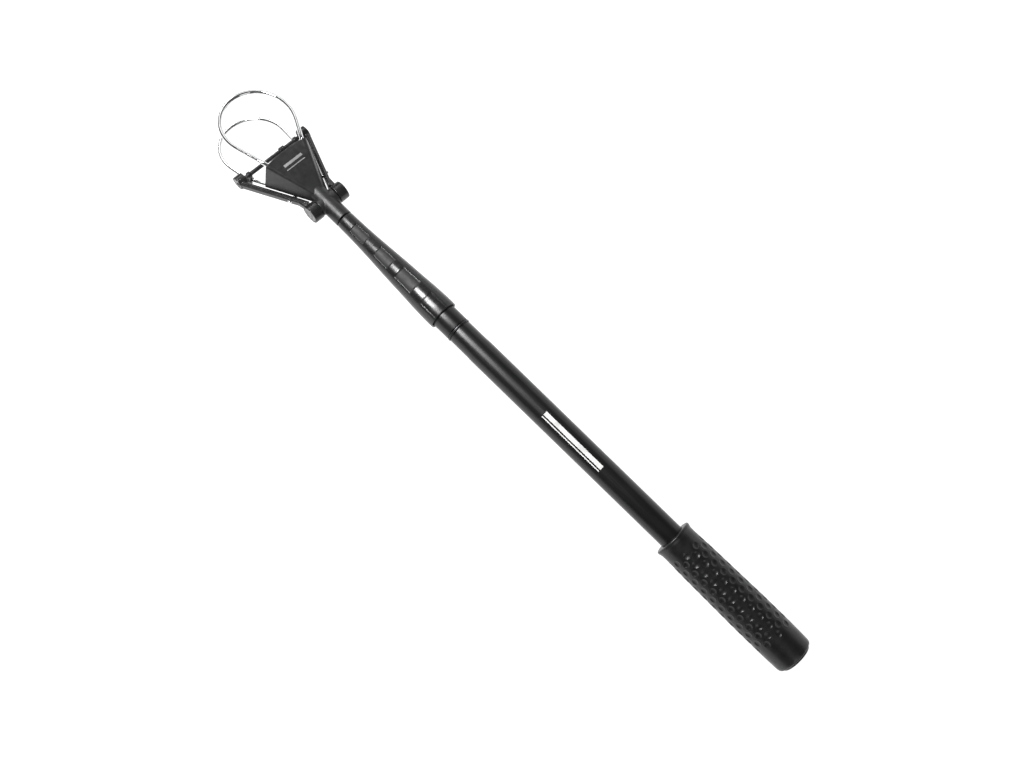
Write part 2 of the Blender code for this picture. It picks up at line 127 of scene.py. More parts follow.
def edge_wear(nt, amount):
    """Pale rub on convex edges, from the surface's own pointiness."""
    g = nt.nodes.new("ShaderNodeNewGeometry")
    mr = nt.nodes.new("ShaderNodeMapRange")
    mr.inputs["From Min"].default_value = 0.52
    mr.inputs["From Max"].default_value = 0.62
    mr.inputs["To Min"].default_value = 0.0
    mr.inputs["To Max"].default_value = amount
    nt.links.new(g.outputs["Pointiness"], mr.inputs["Value"])
    return mr.outputs["Result"]


def mix_col(nt, fac, a, b):
    mx = nt.nodes.new("ShaderNodeMix")
    mx.data_type = 'RGBA'
    nt.links.new(fac, mx.inputs["Factor"])
    if isinstance(a, tuple):
        mx.inputs["A"].default_value = (*a, 1)
    else:
        nt.links.new(a, mx.inputs["A"])
    mx.inputs["B"].default_value = (*b, 1)
    return mx.outputs["Result"]


# moulded rubber: matte skin, fine grain, faint bloom
m, nt, p = new_mat("rubber_black", (0.006, 0.006, 0.0063), 0.36, spec=0.5)
v = coords(nt)
cloud = noise(nt, v, 90, 4)
nt.links.new(ramp(nt, cloud, [(0.3, (0.0045, 0.0045, 0.0048)), (0.75, (0.009, 0.009, 0.0095))]), p.inputs["Base Color"])
nt.links.new(remap(nt, noise(nt, v, 260, 3), 0.30, 0.44), p.inputs["Roughness"])
nrm = bump(nt, noise(nt, v, 2600, 4, 0.65), 0.25, 0.00008)
nt.links.new(bump(nt, noise(nt, v, 420, 2), 0.12, 0.00015, nrm), p.inputs["Normal"])
RUBBER = m

# satin black paint over drawn tube: faint lengthwise lines, orange peel
m, nt, p = new_mat("tube_paint", (0.0055, 0.0055, 0.006), 0.37, spec=0.5)
v = coords(nt)
vl = coords(nt, scale=(0.02, 1, 1))
nt.links.new(ramp(nt, noise(nt, v, 60, 4), [(0.3, (0.0042, 0.0042, 0.0045)), (0.8, (0.0075, 0.0075, 0.008))]), p.inputs["Base Color"])
nt.links.new(remap(nt, noise(nt, vl, 1800, 3), 0.28, 0.38), p.inputs["Roughness"])
nrm = bump(nt, noise(nt, v, 900, 2), 0.10, 0.00006)
nt.links.new(bump(nt, noise(nt, vl, 2400, 2), 0.08, 0.00003, nrm), p.inputs["Normal"])
PAINT = m


def plastic(name, colour, rlo, rhi, grain=0.10, wear=0.35, wear_col=(0.09, 0.09, 0.092)):
    m, nt, p = new_mat(name, colour, (rlo + rhi) / 2, spec=0.5)
    v = coords(nt)
    lo = tuple(c * 0.8 for c in colour)
    hi = tuple(c * 1.35 for c in colour)
    body = ramp(nt, noise(nt, v, 140, 4), [(0.3, lo), (0.75, hi)])
    nt.links.new(mix_col(nt, edge_wear(nt, wear), body, wear_col), p.inputs["Base Color"])
    nt.links.new(remap(nt, noise(nt, v, 330, 4), rlo, rhi), p.inputs["Roughness"])
    nrm = bump(nt, noise(nt, v, 1500, 2, 0.6), grain, 0.00006)
    nt.links.new(bump(nt, noise(nt, v, 260, 2), 0.10, 0.00012, nrm), p.inputs["Normal"])
    return m


PLASTIC = plastic("plastic_black", (0.010, 0.010, 0.0107), 0.22, 0.32)
SPADE = plastic("plastic_spade", (0.011, 0.011, 0.0117), 0.34, 0.46, grain=0.22, wear=0.0)
PLUG = plastic("plastic_plug", (0.008, 0.008, 0.0085), 0.34, 0.46)
GREY = plastic("plastic_grey", (0.16, 0.16, 0.163), 0.38, 0.5, wear=0.2, wear_col=(0.42, 0.42, 0.42))
SATIN = plastic("plastic_black_moulded", (0.010, 0.010, 0.0107), 0.22, 0.32, wear=0.0)
ROUGH = plastic("plastic_black_textured", (0.012, 0.012, 0.0127), 0.50, 0.62, grain=0.5, wear=0.0)
PRINT_GREY = plastic("print_grey", (0.22, 0.22, 0.22), 0.42, 0.6, grain=0.2, wear=0.0)
PRINT = plastic("print_white", (0.80, 0.80, 0.79), 0.42, 0.6, grain=0.2, wear=0.0)

# natural nylon bushes
m, nt, p = new_mat("nylon_natural", (0.62, 0.61, 0.56), 0.45)
p.inputs["Subsurface Weight"].default_value = 0.2
p.inputs["Subsurface Radius"].default_value = (0.001, 0.001, 0.0008)
v = coords(nt)
nt.links.new(ramp(nt, noise(nt, v, 300, 3), [(0.3, (0.56, 0.55, 0.50)), (0.7, (0.66, 0.65, 0.60))]), p.inputs["Base Color"])
nt.links.new(remap(nt, noise(nt, v, 500, 3), 0.38, 0.55), p.inputs["Roughness"])
nt.links.new(bump(nt, noise(nt, v, 1800, 2), 0.12, 0.00005), p.inputs["Normal"])
NYLON = m

# drawn stainless sections: lengthwise drawing lines and light rubs
m, nt, p = new_mat("steel_drawn", (0.60, 0.60, 0.61), 0.2, metal=1.0, aniso=0.35)
v = coords(nt)
vl = coords(nt, scale=(0.015, 1, 1))
nt.links.new(ramp(nt, noise(nt, vl, 1400, 4), [(0.3, (0.50, 0.50, 0.51)), (0.7, (0.68, 0.68, 0.69))]), p.inputs["Base Color"])
nt.links.new(remap(nt, noise(nt, vl, 2600, 4), 0.12, 0.30), p.inputs["Roughness"])
nt.links.new(bump(nt, noise(nt, vl, 3200, 3), 0.12, 0.00003), p.inputs["Normal"])
STEEL = m

# bright chromed wire
m, nt, p = new_mat("wire_chrome", (0.80, 0.805, 0.81), 0.06, metal=1.0)
v = coords(nt)
nt.links.new(ramp(nt, noise(nt, v, 220, 4), [(0.3, (0.74, 0.745, 0.75)), (0.7, (0.86, 0.865, 0.87))]), p.inputs["Base Color"])
nt.links.new(remap(nt, noise(nt, v, 700, 4), 0.035, 0.12), p.inputs["Roughness"])
nt.links.new(bump(nt, noise(nt, v, 500, 2), 0.06, 0.00004), p.inputs["Normal"])
CHROME = m

# blackened steel: rod, ring
m, nt, p = new_mat("steel_black", (0.035, 0.035, 0.037), 0.3, metal=0.75)
v = coords(nt)
vy = coords(nt, scale=(1, 0.05, 1))
nt.links.new(mix_col(nt, edge_wear(nt, 0.5), ramp(nt, noise(nt, v, 400, 4), [(0.3, (0.022, 0.022, 0.024)), (0.7, (0.05, 0.05, 0.052))]),
                     (0.32, 0.32, 0.33)), p.inputs["Base Color"])
nt.links.new(remap(nt, noise(nt, vy, 1600, 3), 0.2, 0.4), p.inputs["Roughness"])
nt.links.new(bump(nt, noise(nt, vy, 2400, 2), 0.1, 0.00003), p.inputs["Normal"])
BLACKSTEEL = m


# =============================================================== geometry helpers
def finish_obj(name, me, mat, body, nodes, angle=32.0):
    bm = bmesh.new()
    bm.from_mesh(me)
    bmesh.ops.remove_doubles(bm, verts=bm.verts, dist=1e-7)
    bmesh.ops.recalc_face_normals(bm, faces=bm.faces)
    bm.to_mesh(me)
    bm.free()
    me.materials.clear()
    me.materials.append(mat)
    me.shade_smooth()
    if angle is not None:
        me.set_sharp_from_angle(angle=math.radians(angle))
    ob = bpy.data.objects.new(name, me)
    bpy.context.scene.collection.objects.link(ob)
    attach(ob, body)
    if nodes:
        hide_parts(*nodes)
    return ob


def mesh_from(verts_mm, faces, name="m"):
    me = bpy.data.meshes.new(name)
    me.from_pydata((np.asarray(verts_mm, float) * MM).tolist(), [], [tuple(int(i) for i in f) for f in faces])
    me.update()
    return me


def rnd(points, closed=True, n=5):
    """Round the corners of a 2D outline. Each point is (x, r) or (x, r, radius)."""
    out, N = [], len(points)
    for i, pt in enumerate(points):
        rad = pt[2] if len(pt) > 2 else 0.0
        q = np.array(pt[:2], float)
        if rad <= 0 or (not closed and i in (0, N - 1)):
            out.append(tuple(q))
            continue
        a, b = np.array(points[i - 1][:2], float), np.array(points[(i + 1) % N][:2], float)
        u, w = a - q, b - q
        lu, lw = np.linalg.norm(u), np.linalg.norm(w)
        u, w = u / lu, w / lw
        half = math.acos(max(-1, min(1, float(u @ w)))) / 2
        if half > math.radians(88):
            out.append(tuple(q))
            continue
        cut = min(rad / math.tan(half), lu * 0.48, lw * 0.48)
        r = cut * math.tan(half)
        c = q + (u + w) / np.linalg.norm(u + w) * (r / math.sin(half))
        s, e = q + u * cut, q + w * cut
        a0 = math.atan2(*(s - c)[::-1])
        a1 = math.atan2(*(e - c)[::-1])
        d = (a1 - a0 + math.pi) % math.tau - math.pi
        for k in range(n + 1):
            t = a0 + d * k / n
            out.append((c[0] + r * math.cos(t), c[1] + r * math.sin(t)))
    return out


def turned(name, outline, n=96, closed=True):
    """Mesh turned about the X axis from a (x, r) outline in mm; r = 0 ends become poles."""
    verts, rings = [], []
    th = np.arange(n) * math.tau / n
    for x, r in outline:
        if r < 1e-6:
            rings.append([len(verts)])
            verts.append((x, 0, 0))
        else:
            rings.append(list(range(len(verts), len(verts) + n)))
            verts.extend([(x, r * math.cos(t), r * math.sin(t)) for t in th])
    pairs = list(zip(rings[:-1], rings[1:])) + ([(rings[-1], rings[0])] if closed else [])
    faces = []
    for a, b in pairs:
        if len(a) == 1 and len(b) == 1:
            continue
        for i in range(n):
            j = (i + 1) % n
            if len(a) == 1:
                faces.append((a[0], b[j], b[i]))
            elif len(b) == 1:
                faces.append((a[i], a[j], b[0]))
            else:
                faces.append((a[i], a[j], b[j], b[i]))
    return mesh_from(verts, faces, name)


def turned_y(name, outline, x, z, n=64, closed=True):
    """The same about an axis along Y through (x, z); the outline is (y, r)."""
    me = turned(name, outline, n, closed)
    me.transform(Matrix.Translation(Vector((x, 0, z)) * MM) @ Matrix.Rotation(math.radians(90), 4, 'Z'))
    return me


def grid_faces(nu, nv, wrap_v=True, base=0):
    out = []
    for i in range(nu - 1):
        for j in range(nv if wrap_v else nv - 1):
            k = (j + 1) % nv
            out.append((base + i * nv + j, base + i * nv + k, base + (i + 1) * nv + k, base + (i + 1) * nv + j))
    return out


def sweep_wire(name, pts, r, sides=20):
    """Closed round wire along points in mm, with slightly rounded ends."""
    P = np.array(pts, float)
    T = np.gradient(P, axis=0)
    T /= np.linalg.norm(T, axis=1)[:, None]
    ref = np.array([0.0, 0.0, 1.0])
    N0 = np.cross(T[0], ref)
    if np.linalg.norm(N0) < 0.2:
        N0 = np.cross(T[0], [1.0, 0, 0])
    N = [N0 / np.linalg.norm(N0)]
    for i in range(1, len(P)):
        v = N[-1] - T[i] * (N[-1] @ T[i])
        N.append(v / np.linalg.norm(v))
    N = np.array(N)
    B = np.cross(T, N)
    a = np.arange(sides) * math.tau / sides
    verts = []

    def ring(c, nn, bb, rr):
        return [c + rr * (math.cos(t) * nn + math.sin(t) * bb) for t in a]

    verts.append(P[0])
    verts += ring(P[0], N[0], B[0], r * 0.75)
    verts += ring(P[0] + T[0] * r * 0.25, N[0], B[0], r)
    for i in range(1, len(P) - 1):
        verts += ring(P[i], N[i], B[i], r)
    verts += ring(P[-1] - T[-1] * r * 0.25, N[-1], B[-1], r)
    verts += ring(P[-1], N[-1], B[-1], r * 0.75)
    verts.append(P[-1])
    rings = len(P) + 2
    faces = grid_faces(rings, sides, True, 1)
    faces += [(0, 1 + (j + 1) % sides, 1 + j) for j in range(sides)]
    last, b = 1 + rings * sides, 1 + (rings - 1) * sides
    faces += [(last, b + j, b + (j + 1) % sides) for j in range(sides)]
    return mesh_from(verts, faces, name)


def smooth_path(pts, step=0.5, passes=40, keep=()):
    """Even spacing, then a light smoothing that leaves the ends where they are."""
    P = np.array(pts, float)
    d = np.r_[0, np.cumsum(np.linalg.norm(np.diff(P, axis=0), axis=1))]
    m = max(8, int(d[-1] / step))
    t = np.linspace(0, d[-1], m)
    Q = np.stack([np.interp(t, d, P[:, k]) for k in range(3)], 1)
    for _ in range(passes):
        Q[1:-1] = 0.5 * Q[1:-1] + 0.25 * (Q[:-2] + Q[2:])
    return Q


def fuse(name, meshes, voxel=0.22, passes=8, factor=0.5):
    """One moulded skin from overlapping closed meshes."""
    bm = bmesh.new()
    for me in meshes:
        bm.from_mesh(me)
    bmesh.ops.recalc_face_normals(bm, faces=bm.faces)
    tmp_me = bpy.data.meshes.new(name + "_tmp")
    bm.to_mesh(tmp_me)
    bm.free()
    tmp = bpy.data.objects.new(name + "_tmp", tmp_me)
    bpy.context.scene.collection.objects.link(tmp)
    rm = tmp.modifiers.new("skin", 'REMESH')
    rm.mode = 'VOXEL'
    rm.voxel_size = voxel * MM
    sm = tmp.modifiers.new("soft", 'SMOOTH')
    sm.factor = factor
    sm.iterations = passes
    dg = bpy.context.evaluated_depsgraph_get()
    out = bpy.data.meshes.new_from_object(tmp.evaluated_get(dg))
    bpy.data.objects.remove(tmp)
    return out


def prism(outline, p0, p1, up=(0, 0, 1), taper=1.0, bow=0.0, n=2):
    """Closed bar with a 2D outline (side, up) in mm, from p0 to p1."""
    a, b = np.array(p0, float), np.array(p1, float)
    d = (b - a) / np.linalg.norm(b - a)
    u = np.array(up, float)
    s = np.cross(u, d)
    s /= np.linalg.norm(s)
    u = np.cross(d, s)
    verts = []
    for i in range(n):
        t = i / (n - 1)
        k = 1 + (taper - 1) * t
        c = a + (b - a) * t + u * bow * math.sin(math.pi * t)
        verts += [c + s * x * k + u * y * k for x, y in outline]
    m = len(outline)
    faces = grid_faces(n, m)
    faces.append(tuple(reversed(range(m))))
    faces.append(tuple(range((n - 1) * m, n * m)))
    return mesh_from(verts, faces)


def rrect(w, h, r, n=5):
    return rnd([(-w / 2, -h / 2, r), (w / 2, -h / 2, r), (w / 2, h / 2, r), (-w / 2, h / 2, r)], True, n)


# =============================================================== pole: grip, plug, tube
def interp(x, table):
    t = np.array(table, float)
    return np.interp(x, t[:, 0], t[:, 1])


VIEW = math.radians(17.5)       # direction of the tube's front line, from +Z towards +Y
GRIP = [(1.65, 11.5), (2.0, 12.05), (2.6, 12.4), (3.6, 12.62), (5.5, 12.72), (10, 12.85), (18, 13.0), (40, 13.0), (52, 12.8),
        (64, 12.62), (76, 12.45), (84, 12.3), (90, 12.05), (95, 11.92), (98.4, 11.95), (99.4, 12.15), (100.3, 12.45),
        (101.0, 12.58), (101.7, 12.5), (102.1, 12.15)]
NX, NT = 300, 324
xs = np.linspace(2.6, 101.0, NX - 8)
xs = np.r_[np.array([1.65, 1.75, 2.0, 2.3]), xs, np.array([101.35, 101.7, 101.95, 102.1])]
th = np.arange(NT) * math.tau / NT
X, TH = np.meshgrid(xs, th, indexing="ij")
R = interp(X, GRIP)
# the moulded rows: 18 round the grip, every second one half a step further along
PITCH, ROWS = 7.25, 18
row_a = math.tau / ROWS
depth = np.zeros_like(X)
a_rel = (TH - (math.pi / 2 - VIEW) - math.radians(10.7) + math.tau * 2) / row_a
k0 = np.round(a_rel)
for dk in (-1, 0, 1):
    k = k0 + dk
    da = (a_rel - k) * row_a * R
    odd = (k.astype(int) % 2) != 0
    x_first = np.where(odd, 24.7, 21.1)
    last = np.where(odd, 9, 9)
    idx = np.clip(np.round((X - x_first) / PITCH), 0, last)
    for di in (-1, 0, 1):
        ii = idx + di
        ok = (ii >= 0) & (ii <= last)
        dx = X - (x_first + ii * PITCH)
        q = (dx / 2.15) ** 2 + (da / 1.95) ** 2
        cup = np.where(q < 1, (1 - q) ** 0.75, 0.0)
        lip = np.exp(-((np.sqrt(q) - 1.12) / 0.16) ** 2)
        depth = np.maximum(depth, np.where(ok, cup * 0.60, 0)) - 0.0
        R = R + np.where(ok, lip * 0.055, 0)
R = R - depth
outer = np.stack([X, R * np.cos(TH), R * np.sin(TH)], -1).reshape(-1, 3)
BORE = 8.25
inner_x = np.array([102.1, 90.0, 50.0, 10.0, 1.65])
IX, ITH = np.meshgrid(inner_x, th, indexing="ij")
lipx = np.stack([np.full(NT, 102.1), 11.0 * np.cos(th), 11.0 * np.sin(th)], -1)
inner = np.stack([IX, BORE * np.cos(ITH), BORE * np.sin(ITH)], -1).reshape(-1, 3)
verts = np.vstack([outer, inner])
faces = grid_faces(len(xs) + len(inner_x), NT)
nrow = len(xs) + len(inner_x)
faces += [((nrow - 1) * NT + j, (nrow - 1) * NT + (j + 1) % NT, (j + 1) % NT, j) for j in range(NT)]
finish_obj("grip_rubber", mesh_from(verts, faces, "grip_rubber"), RUBBER, "handle", ["rubber_grip"], 70)

me = turned("butt", rnd([(0.0, 0.0), (0.0, 8.9, 1.2), (0.35, 10.2, 0.4), (1.35, 10.75, 0.25), (1.35, 7.9, 0.1), (4.6, 7.9, 0.1), (4.6, 7.2, 0.1),
                         (14.0, 7.0, 0.3), (14.0, 0.0)], False, 6), 128, closed=False)
finish_obj("butt_plug_moulded", me, PLUG, "handle", ["butt_plug"])

TUBE = [(276.0, 7.75, 0.12), (262.8, 7.8, 3.0), (258.2, 8.0, 4.0), (5.0, 8.0, 0.2), (5.0, 7.5, 0.1), (276.0, 7.5, 0.1)]
finish_obj("tube_outer", turned("tube", rnd(TUBE, True, 8), 160), PAINT, "handle", ["outer_tube"])
finish_obj("tube_ring", turned("ring", rnd([(277.55, 8.22, 0.3), (276.35, 8.22, 0.3), (276.35, 7.65, 0.05), (277.55, 7.65, 0.05)], True, 6), 160),
           BLACKSTEEL, "handle", ["crimp_ring"])
finish_obj("tube_ferrule", turned("ferrule", rnd([(296.0, 8.0, 0.6), (277.9, 8.0, 0.25), (277.9, 7.3, 0.05), (268.0, 7.3, 0.1), (268.0, 6.85, 0.1),
                                                  (296.0, 6.85, 0.2)], True, 6), 160), PAINT, "handle", ["mouth_ferrule"])


def printed_patch(name, x0, x1, a0, a1, r, body, thick=0.035, na=24, nx=2):
    """Thin printed bar lying on the tube, between angles a0 and a1 from the front line."""
    verts = []
    for rr in (r, r + thick):
        for x in np.linspace(x0, x1, nx):
            for a in np.linspace(a0, a1, na):
                t = math.pi / 2 - VIEW - a
                verts.append((x, rr * math.cos(t), rr * math.sin(t)))
    n2 = nx * na
    faces = []
    for i in range(nx - 1):
        for j in range(na - 1):
            q = i * na + j
            faces.append((q, q + 1, q + na + 1, q + na))
            faces.append((n2 + q, n2 + q + na, n2 + q + na + 1, n2 + q + 1))
    ring = [j for j in range(na)] + [i * na + na - 1 for i in range(1, nx)] + \
           [(nx - 1) * na + j for j in range(na - 2, -1, -1)] + [i * na for i in range(nx - 2, 0, -1)]
    for a, b in zip(ring, ring[1:] + ring[:1]):
        faces.append((a, b, n2 + b, n2 + a))
    return finish_obj(name, mesh_from(verts, faces, name), PRINT, body, [])


D = math.radians
printed_patch("tube_bar_wide", 160.0, 206.0, D(-12), D(7), 8.005, "handle")
printed_patch("tube_bar_narrow", 160.0, 206.0, D(14), D(19), 8.005, "handle")

# =============================================================== inner sections
SEC_R = (6.60, 5.75, 4.95, 4.15, 3.35, 2.50)
SEC_BORE = (6.20, 5.40, 4.60, 3.80, 3.00, 1.70)
SEC_MOUTH = (5.90, 5.10, 4.30, 3.50, 2.65, 1.70)
for i in range(6):
    node = "section_%d_tube" % (i + 1)
    lo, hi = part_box(node)
    x0, x1 = lo.x / MM, hi.x / MM
    r, b, mo = SEC_R[i], SEC_BORE[i], SEC_MOUTH[i]
    body = "section_%d" % (i + 1) if i < 5 else "head"
    if i < 5:
        prof = [(x1, r - 0.03, 0.15), (x1 - 1.6, r, 0.2), (x1 - 5.0, r, 0.3), (x1 - 5.5, r - 0.14, 0.3), (x1 - 6.3, r - 0.14, 0.3), (x1 - 6.8, r, 0.3),
                (x0, r, 0.1), (x0, b, 0.1), (x1 - 5.8, b, 0.2), (x1 - 5.0, mo, 0.2), (x1, mo, 0.12)]
    else:
        prof = [(x1, r, 0.15), (x0, r, 0.1), (x0, b, 0.05), (x1, b, 0.05)]
    finish_obj("pole_section_%d" % (i + 1), turned(node, rnd(prof, True, 4), 96), STEEL, body, [node])
    NODES["section_%d_bush" % (i + 1)].data.materials.clear()
    NODES["section_%d_bush" % (i + 1)].data.materials.append(NYLON)

# =============================================================== socket sleeve
SOCK = [(289.3, 9.42), (289.8, 9.5), (294.0, 9.53), (300.7, 9.32), (307.8, 8.94), (314.8, 8.45), (321.9, 8.1), (328.9, 7.66), (336.0, 7.17),
        (343.0, 6.67), (350.1, 6.2), (357.2, 5.87), (364.2, 5.65), (369.6, 5.56), (370.1, 5.3)]
POCK = ((280.0, 302.2, 0.16), (310.6, 323.9, 0.42), (330.4, 341.9, 0.40), (350.8, 361.9, 0.34))
xs = np.unique(np.r_[np.linspace(289.9, 369.6, 330), np.linspace(289.3, 289.9, 5), np.linspace(369.6, 370.1, 5)])
NT = 360
th = np.arange(NT) * math.tau / NT
X, TH = np.meshgrid(xs, th, indexing="ij")
# softened outline
kx = np.linspace(289.3, 370.1, 400)
kr = interp(kx, SOCK)
for _ in range(60):
    kr[3:-3] = 0.5 * kr[3:-3] + 0.25 * (kr[2:-4] + kr[4:-2])
R0 = np.interp(X, kx, kr)
R = R0.copy()


def sstep(t):
    t = np.clip(t, 0, 1)
    return t * t * (3 - 2 * t)


for row in range(2):
    mid = math.pi / 2 - VIEW + row * math.pi
    da = (TH - mid + math.pi) % math.tau - math.pi
    for x0, x1, dep in POCK:
        band = sstep((X - x0) / 0.5 + 0.5) * sstep((x1 - X) / 0.5 + 0.5)
        half = math.radians(29.0)
        floor = R0 - dep
        side = sstep((half - np.abs(da)) * R0 / 0.4 + 0.5)
        cut = np.maximum(R0 - floor, 0.0)
        cut = np.where(np.abs(da) < half + 0.12, cut, 0)
        R = R - cut * band * side
outer = np.stack([X, R * np.cos(TH), R * np.sin(TH)], -1)
inner_prof = [(369.9, 2.62), (379.0, 2.6), (379.0, 1.2)]
bore_prof = [(362.4, 2.0), (362.4, 2.78), (347.5, 2.8), (346.5, 4.3), (335.0, 5.2), (321.0, 6.4), (307.0, 7.2), (298.0, 8.38), (292.0, 8.5), (289.7, 8.6)]
verts = [tuple(v) for v in outer.reshape(-1, 3)]
nrow = len(xs)
rows = [list(range(i * NT, (i + 1) * NT)) for i in range(nrow)]


def add_ring(x, r):
    base = len(verts)
    for t in th:
        verts.append((x, r * math.cos(t), r * math.sin(t)))
    return list(range(base, base + NT))


front = [add_ring(x, r) for x, r in inner_prof]
tip = len(verts)
verts.append((379.0, 0, 0))
back = [add_ring(x, r) for x, r in bore_prof]
end = len(verts)
verts.append((362.4, 0, 0))
seq = back + rows + front
faces = []
for a, b in zip(seq[:-1], seq[1:]):
    for j in range(NT):
        k = (j + 1) % NT
        faces.append((a[j], a[k], b[k], b[j]))
for j in range(NT):
    k = (j + 1) % NT
    faces.append((front[-1][j], front[-1][k], tip))
    faces.append((back[0][k], back[0][j], end))
socket = finish_obj("socket_moulded", mesh_from(verts, faces, "socket"), PLASTIC, "head", ["socket_sleeve"], 50)
socket.data.materials.append(ROUGH)
for poly in socket.data.polygons:
    c = poly.center / MM
    rr = math.hypot(c.y, c.z)
    if 289.6 < c.x < 369.0 and rr > 4.9 and rr > float(np.interp(c.x, kx, kr)) - 0.8 and rr < float(np.interp(c.x, kx, kr)) - 0.2 and c.x > 305:
        poly.material_index = 1

# cross pin heads, slightly domed
pd = Vector((0, math.sin(VIEW), math.cos(VIEW)))
me = turned("pin", rnd([(-5.3, 0.0), (-5.25, 0.7, 0.2), (-5.0, 0.85, 0.1), (5.0, 0.85, 0.1), (5.25, 0.7, 0.2), (5.3, 0.0)], False, 4), 32, closed=False)
me.transform(Matrix.Translation(Vector((353.4, 0, 0)) * MM) @ Vector((1, 0, 0)).rotation_difference(pd).to_matrix().to_4x4())
finish_obj("pin_socket", me, STEEL, "head", ["socket_pin"])

# =============================================================== spade yoke
PIV = 385.1
FOLD, TOP = 392.0, 416.9


def spade_half(x):
    t = (x - FOLD) / (TOP - FOLD)
    return ((3.6 + 11.4 * t, 5.0 + 8.8 * t), (6.6 + 11.7 * t, -0.5 - 4.5 * t))


def spade_skin():
    NU, cols = 26, None
    rows = []
    for i in range(NU):
        t = i / (NU - 1)
        x = 389.0 + (TOP - 389.0) * t
        (fy, fz), (ky, kz) = spade_half(x)
        out = [(-ky, kz), (-fy, fz, 1.7), (fy, fz, 1.7), (ky, kz)]
        sec = rnd(out, False, 7)
        # even subdivision of the straight runs
        P = np.array(sec)
        d = np.r_[0, np.cumsum(np.linalg.norm(np.diff(P, axis=0), axis=1))]
        s = np.unique(np.round(np.r_[d, np.linspace(0, d[-1], 41)], 6))
        cols = 64
        s = np.interp(np.linspace(0, 1, cols), np.linspace(0, 1, len(s)), s)
        Y, Z = np.interp(s, d, P[:, 0]), np.interp(s, d, P[:, 1])
        face = np.clip(1 - (np.abs(Y) / max(fy, 1)) ** 2, 0, 1)
        x_out = x + 1.15 * face * (t ** 3) * (Z > fz - 1.5)
        rows.append(np.stack([x_out if np.ndim(x_out) else np.full(cols, x_out), Y, Z], 1))
    return np.array(rows)


S = spade_skin()
nu, nv = S.shape[:2]
du = np.gradient(S, axis=0)
dv = np.gradient(S, axis=1)
N = np.cross(du, dv)
N /= np.linalg.norm(N, axis=2)[..., None]
centre = S.mean(axis=(0, 1)) + np.array([0, 0, -6.0])
if np.mean(np.sum(N * (S - centre), axis=2)) < 0:
    N = -N
I = S - N * 2.0
verts = np.vstack([S.reshape(-1, 3), I.reshape(-1, 3)])
faces = grid_faces(nu, nv, False)
off = nu * nv
faces += [tuple(off + q for q in reversed(f)) for f in grid_faces(nu, nv, False)]
for i in range(nu - 1):
    faces.append((i * nv, (i + 1) * nv, off + (i + 1) * nv, off + i * nv))
    faces.append((i * nv + nv - 1, off + i * nv + nv - 1, off + (i + 1) * nv + nv - 1, (i + 1) * nv + nv - 1))
for j in range(nv - 1):
    faces.append((j, off + j, off + j + 1, j + 1))
    q = (nu - 1) * nv
    faces.append((q + j, q + j + 1, off + q + j + 1, off + q + j))
shell = mesh_from(verts, faces, "shell")

neck = turned("neck", rnd([(379.3, 0.0), (379.3, 2.8, 0.05), (370.7, 2.8, 0.05), (370.7, 5.55, 0.35), (395.0, 5.55, 1.0), (398.5, 4.2, 1.0), (398.8, 0.0)],
                          False, 6), 96, closed=False)
pads = turned_y("pads", rnd([(-6.45, 0.0), (-6.45, 5.0, 0.35), (6.45, 5.0, 0.35), (6.45, 0.0)], False, 6), PIV, 0.0, 96, closed=False)


A_RIGHT = (439.6, -0.8, 21.2, D(29.0))
A_LEFT = (441.86, 1.46, 18.0, D(16.5))


def leg_a(x, side):
    cx, cy, r, half = A_LEFT if side > 0 else A_RIGHT
    xt, yt = cx - r * math.sin(half), side * cy + r * math.cos(half)
    y = yt - (xt - max(x, TOP + 0.5)) * math.tan(half) - max(TOP + 0.5 - x, 0.0) * 0.458
    z = 12.4 if x > 419.0 else 13.8 - 2.1 - (TOP - x) * (8.8 / (TOP - FOLD))
    return np.array((x, side * y, min(z, 12.4)))


ribs = []
for side in (1, -1):
    a, b = leg_a(403.0, side), leg_a(417.2, side)
    ribs.append(prism([(1.95 * math.cos(t), 1.95 * math.sin(t)) for t in np.arange(24) * math.tau / 24], a, b))
# stiffening rib under the face, running forward from the neck
ribs.append(prism(rrect(1.6, 4.2, 0.5), (395.0, 0, 2.6), (414.5, 0, 9.2)))
yoke_me = fuse("yoke", [shell, neck, pads] + ribs, voxel=0.20, passes=7)
finish_obj("yoke_moulded", yoke_me, SPADE, "head", ["spade_yoke"], None)

# plain bar print on the spade's face
fn = Vector((-(8.8), 0, TOP - FOLD)).normalized()
fd = Vector((TOP - FOLD, 0, 8.8)).normalized()


def face_bar(name, x0, x1, y0, y1):
    o = Vector((FOLD, 0, 5.0))
    verts = []
    for h in (-0.02, 0.05):
        for u, y in ((x0, y0), (x1, y0), (x1, y1), (x0, y1)):
            q = o + fd * ((u - FOLD) / fd.x) + fn * h
            verts.append((q.x, y, q.z))
    faces = [(0, 3, 2, 1), (4, 5, 6, 7), (0, 1, 5, 4), (1, 2, 6, 5), (2, 3, 7, 6), (3, 0, 4, 7)]
    finish_obj(name, mesh_from(verts, faces, name), PRINT_GREY, "head", [])


face_bar("spade_bar_wide", 410.6, 412.0, -6.6, 6.6)
face_bar("spade_bar_narrow", 408.6, 409.1, -6.6, 6.6)

